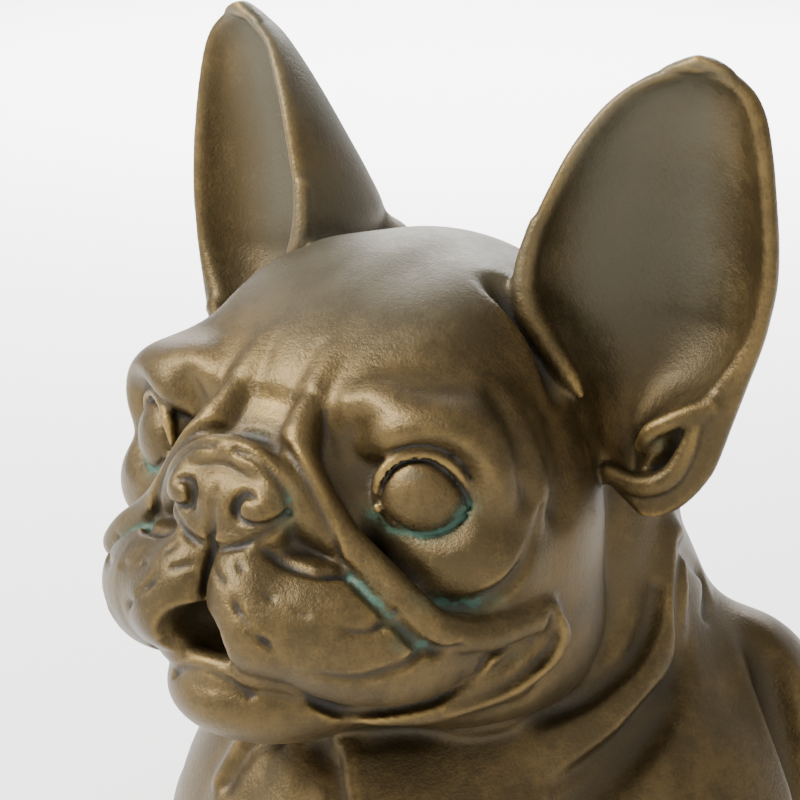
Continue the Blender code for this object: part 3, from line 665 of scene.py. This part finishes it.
class Finish:
    """A material and the one way that nodes are added to it."""

    def __init__(self, name):
        self.material = bpy.data.materials.new(name)
        self.material.use_nodes = True
        self.tree = self.material.node_tree
        self.tree.nodes.clear()
        self.place = self.node("ShaderNodeTexCoord", {}, {})["Object"]

    def node(self, kind, settings, inputs):
        """Adds a node, and gives its outputs by name or number."""
        node = self.tree.nodes.new(kind)
        for name, setting in settings.items():
            setattr(node, name, setting)
        for name, value in inputs.items():
            live = [socket for socket in node.inputs if socket.enabled]
            socket = live[name] if isinstance(name, int) else next(s for s in live if s.name == name)
            if isinstance(value, Value):
                self.tree.links.new(value.socket, socket)
            else:
                socket.default_value = value
        live = [socket for socket in node.outputs if socket.enabled]
        outputs = {socket.name: Value(self, socket) for socket in reversed(live)}
        outputs.update((number, Value(self, socket)) for number, socket in enumerate(live))
        return outputs

    def stored(self, name):
        return self.node("ShaderNodeAttribute", {"attribute_name": name}, {})["Fac"]

    def cloud(self, size, detail, rough):
        """Noise from about 0.25 to 0.75, with patches of this size in metres."""
        inputs = {"Vector": self.place, "Scale": 1 / size, "Detail": detail, "Roughness": rough}
        return self.node("ShaderNodeTexNoise", {}, inputs)[0]

    def blend(self, share, under, over):
        settings = {"data_type": "RGBA"}
        return self.node("ShaderNodeMix", settings, {"Factor": share, "A": under, "B": over})[0]

    def bump(self, height, depth):
        return self.node("ShaderNodeBump", {}, {"Height": height, "Distance": depth, "Strength": 1.0})[0]


def rgb(red, green, blue):
    """A colour as a paint chart gives it, 0 to 255."""
    parts = [part / 255 for part in (red, green, blue)]
    return (*(part / 12.92 if part < 0.04 else ((part + 0.055) / 1.055) ** 2.4 for part in parts), 1.0)


def aged_bronze():
    """Satin bronze paint: ridges gold from wear and a painted highlight, painted shade in hollows, darker
    fine creases, green and dusty where rain sits.
    """
    paint = Finish("aged_bronze")
    fine, broad = paint.stored("fine_swell"), paint.stored("broad_swell")
    green, bare = paint.stored("green"), paint.stored("bare")
    grain = paint.cloud(0.0009, 3, 0.7)
    flecks = paint.cloud(0.0035, 4, 0.65)
    mottle = paint.cloud(0.011, 5, 0.65)
    patches = paint.cloud(0.045, 4, 0.5)
    blotch = (mottle - 0.5) * 0.7 + (flecks - 0.5) * 0.5 + (grain - 0.5) * 0.5

    colour = paint.blend((patches + blotch).rise(0.3, 0.7), rgb(66, 54, 31), rgb(86, 70, 41))
    dull = (bare * 0.85 + blotch * bare).clipped()
    colour = paint.blend(dull, colour, rgb(74, 69, 53))
    # gold on the ridges: partly rubbed wear, partly a painted highlight where ridges catch the light
    rubbed_and_highlight = ((fine + blotch * 0.15).rise(0.06, 0.4) * 0.8).clipped()
    colour = paint.blend(rubbed_and_highlight, colour, rgb(138, 112, 62))
    shade = ((-broad + blotch * 0.15).rise(0.02, 0.3) * 0.7).clipped()
    colour = paint.blend(shade, colour, rgb(44, 37, 24))
    # darker in the fine creases, by how far the surface dips there
    crease_dark = ((-fine + blotch * 0.15).rise(0.03, 0.3) * 0.9).clipped()
    colour = paint.blend(crease_dark, colour, rgb(26, 22, 15))
    soil = (patches * 0.6 + mottle * 0.6 + flecks * 0.3).rise(0.87, 0.95) * 0.5
    colour = paint.blend(soil, colour, rgb(50, 42, 28))
    crust = (green * 2.2 + (flecks - 0.5) * 2.2 + (mottle - 0.5) * 1.5 - fine * 1.2 - 1.45).rise(0, 0.7)
    bloom = (green * 1.2 + (mottle - 0.5) * 2 + (flecks - 0.5) - 0.2).rise(0.1, 0.9)
    verdigris = (crust * 0.7).most(bloom * 0.22)
    colour = paint.blend(verdigris, colour, rgb(46, 84, 68))

    tarnish = (crease_dark * 0.5 + shade * 0.3 + dull * 0.45 + verdigris * 0.9 + soil * 0.6).clipped()
    height = (grain - 0.5) * 0.35 + (flecks - 0.5) * 0.25 + (mottle - 0.5) * 0.35
    inputs = {"Base Color": colour, "Metallic": 0.8 - tarnish * 0.6,
              "Roughness": 0.46 + tarnish * 0.2 + blotch * 0.25, "Normal": paint.bump(height, 0.0005)}
    shader = paint.node("ShaderNodeBsdfPrincipled", {}, inputs)[0]
    paint.node("ShaderNodeOutputMaterial", {}, {"Surface": shader})
    return paint.material


# Studio

def plain(name, colour, rough):
    paint = Finish(name)
    shader = paint.node("ShaderNodeBsdfPrincipled", {}, {"Base Color": colour, "Roughness": rough})[0]
    paint.node("ShaderNodeOutputMaterial", {}, {"Surface": shader})
    return paint.material


def lay_floor():
    bpy.ops.object.select_all(action="DESELECT")
    bpy.ops.mesh.primitive_circle_add(vertices=64, radius=6, fill_type="NGON", location=(0, 0, -0.0002))
    floor = bpy.context.object
    floor.name = "floor"
    bpy.ops.object.transform_apply(location=True, rotation=False, scale=False)
    floor.data.materials.append(plain("pale_floor", (0.9, 0.9, 0.89, 1), 0.7))


def soft_light(name, place, size, power, aim=(0, 0, 0.13)):
    lamp = bpy.data.lights.new(name, "AREA")
    lamp.shape, lamp.size, lamp.energy = "DISK", size, power
    light = bpy.data.objects.new(name, lamp)
    light.location = place
    light.rotation_euler = (Vector(aim) - Vector(place)).to_track_quat("-Z", "Y").to_euler()
    bpy.context.scene.collection.objects.link(light)


def set_camera():
    """The photograph's view: turned 37 degrees to the dog's left, a little from above."""
    aim, rise, roll = (math.radians(angle) for angle in CAMERA_TURN)
    back = Vector((math.sin(aim) * math.cos(rise), -math.cos(aim) * math.cos(rise), math.sin(rise)))
    right = Vector((math.cos(aim), math.sin(aim), 0))
    up = back.cross(right)
    target = (right * CAMERA_AIM[0] + up * CAMERA_AIM[1] - Vector((0, 0, UNDERSIDE))) * STEP
    across = right * math.cos(roll) + up * math.sin(roll)
    over = up * math.cos(roll) - right * math.sin(roll)
    lens = bpy.data.cameras.new("camera")
    lens.lens = CAMERA_LENS * lens.sensor_width
    camera = bpy.data.objects.new("camera", lens)
    turn = Matrix((across, over, back)).transposed().to_4x4()
    camera.matrix_world = Matrix.Translation(target + back * CAMERA_FAR * STEP) @ turn
    bpy.context.scene.collection.objects.link(camera)
    bpy.context.scene.camera = camera


def light_studio():
    world = bpy.data.worlds.new("studio")
    bpy.context.scene.world = world
    world.use_nodes = True
    sky = world.node_tree.nodes["Background"].inputs
    sky["Color"].default_value = (1, 1, 1, 1)
    sky["Strength"].default_value = 1.0
    soft_light("main_light", (-0.9, -1.15, 1.4), 0.8, 110)
    soft_light("fill_light", (1.3, -0.9, 0.5), 1.0, 4)
    soft_light("floor_light", (-0.9, 1.3, 0.8), 1.4, 85, (-0.9, 1.3, 0))


def main():
    field = sculpt()
    bust = cast_bust(field)
    mark_surface(bust, field)
    bust.data.materials.append(aged_bronze())
    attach(bust, "root")
    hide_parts("bulldog_bust")
    lay_floor()
    light_studio()
    set_camera()


main()
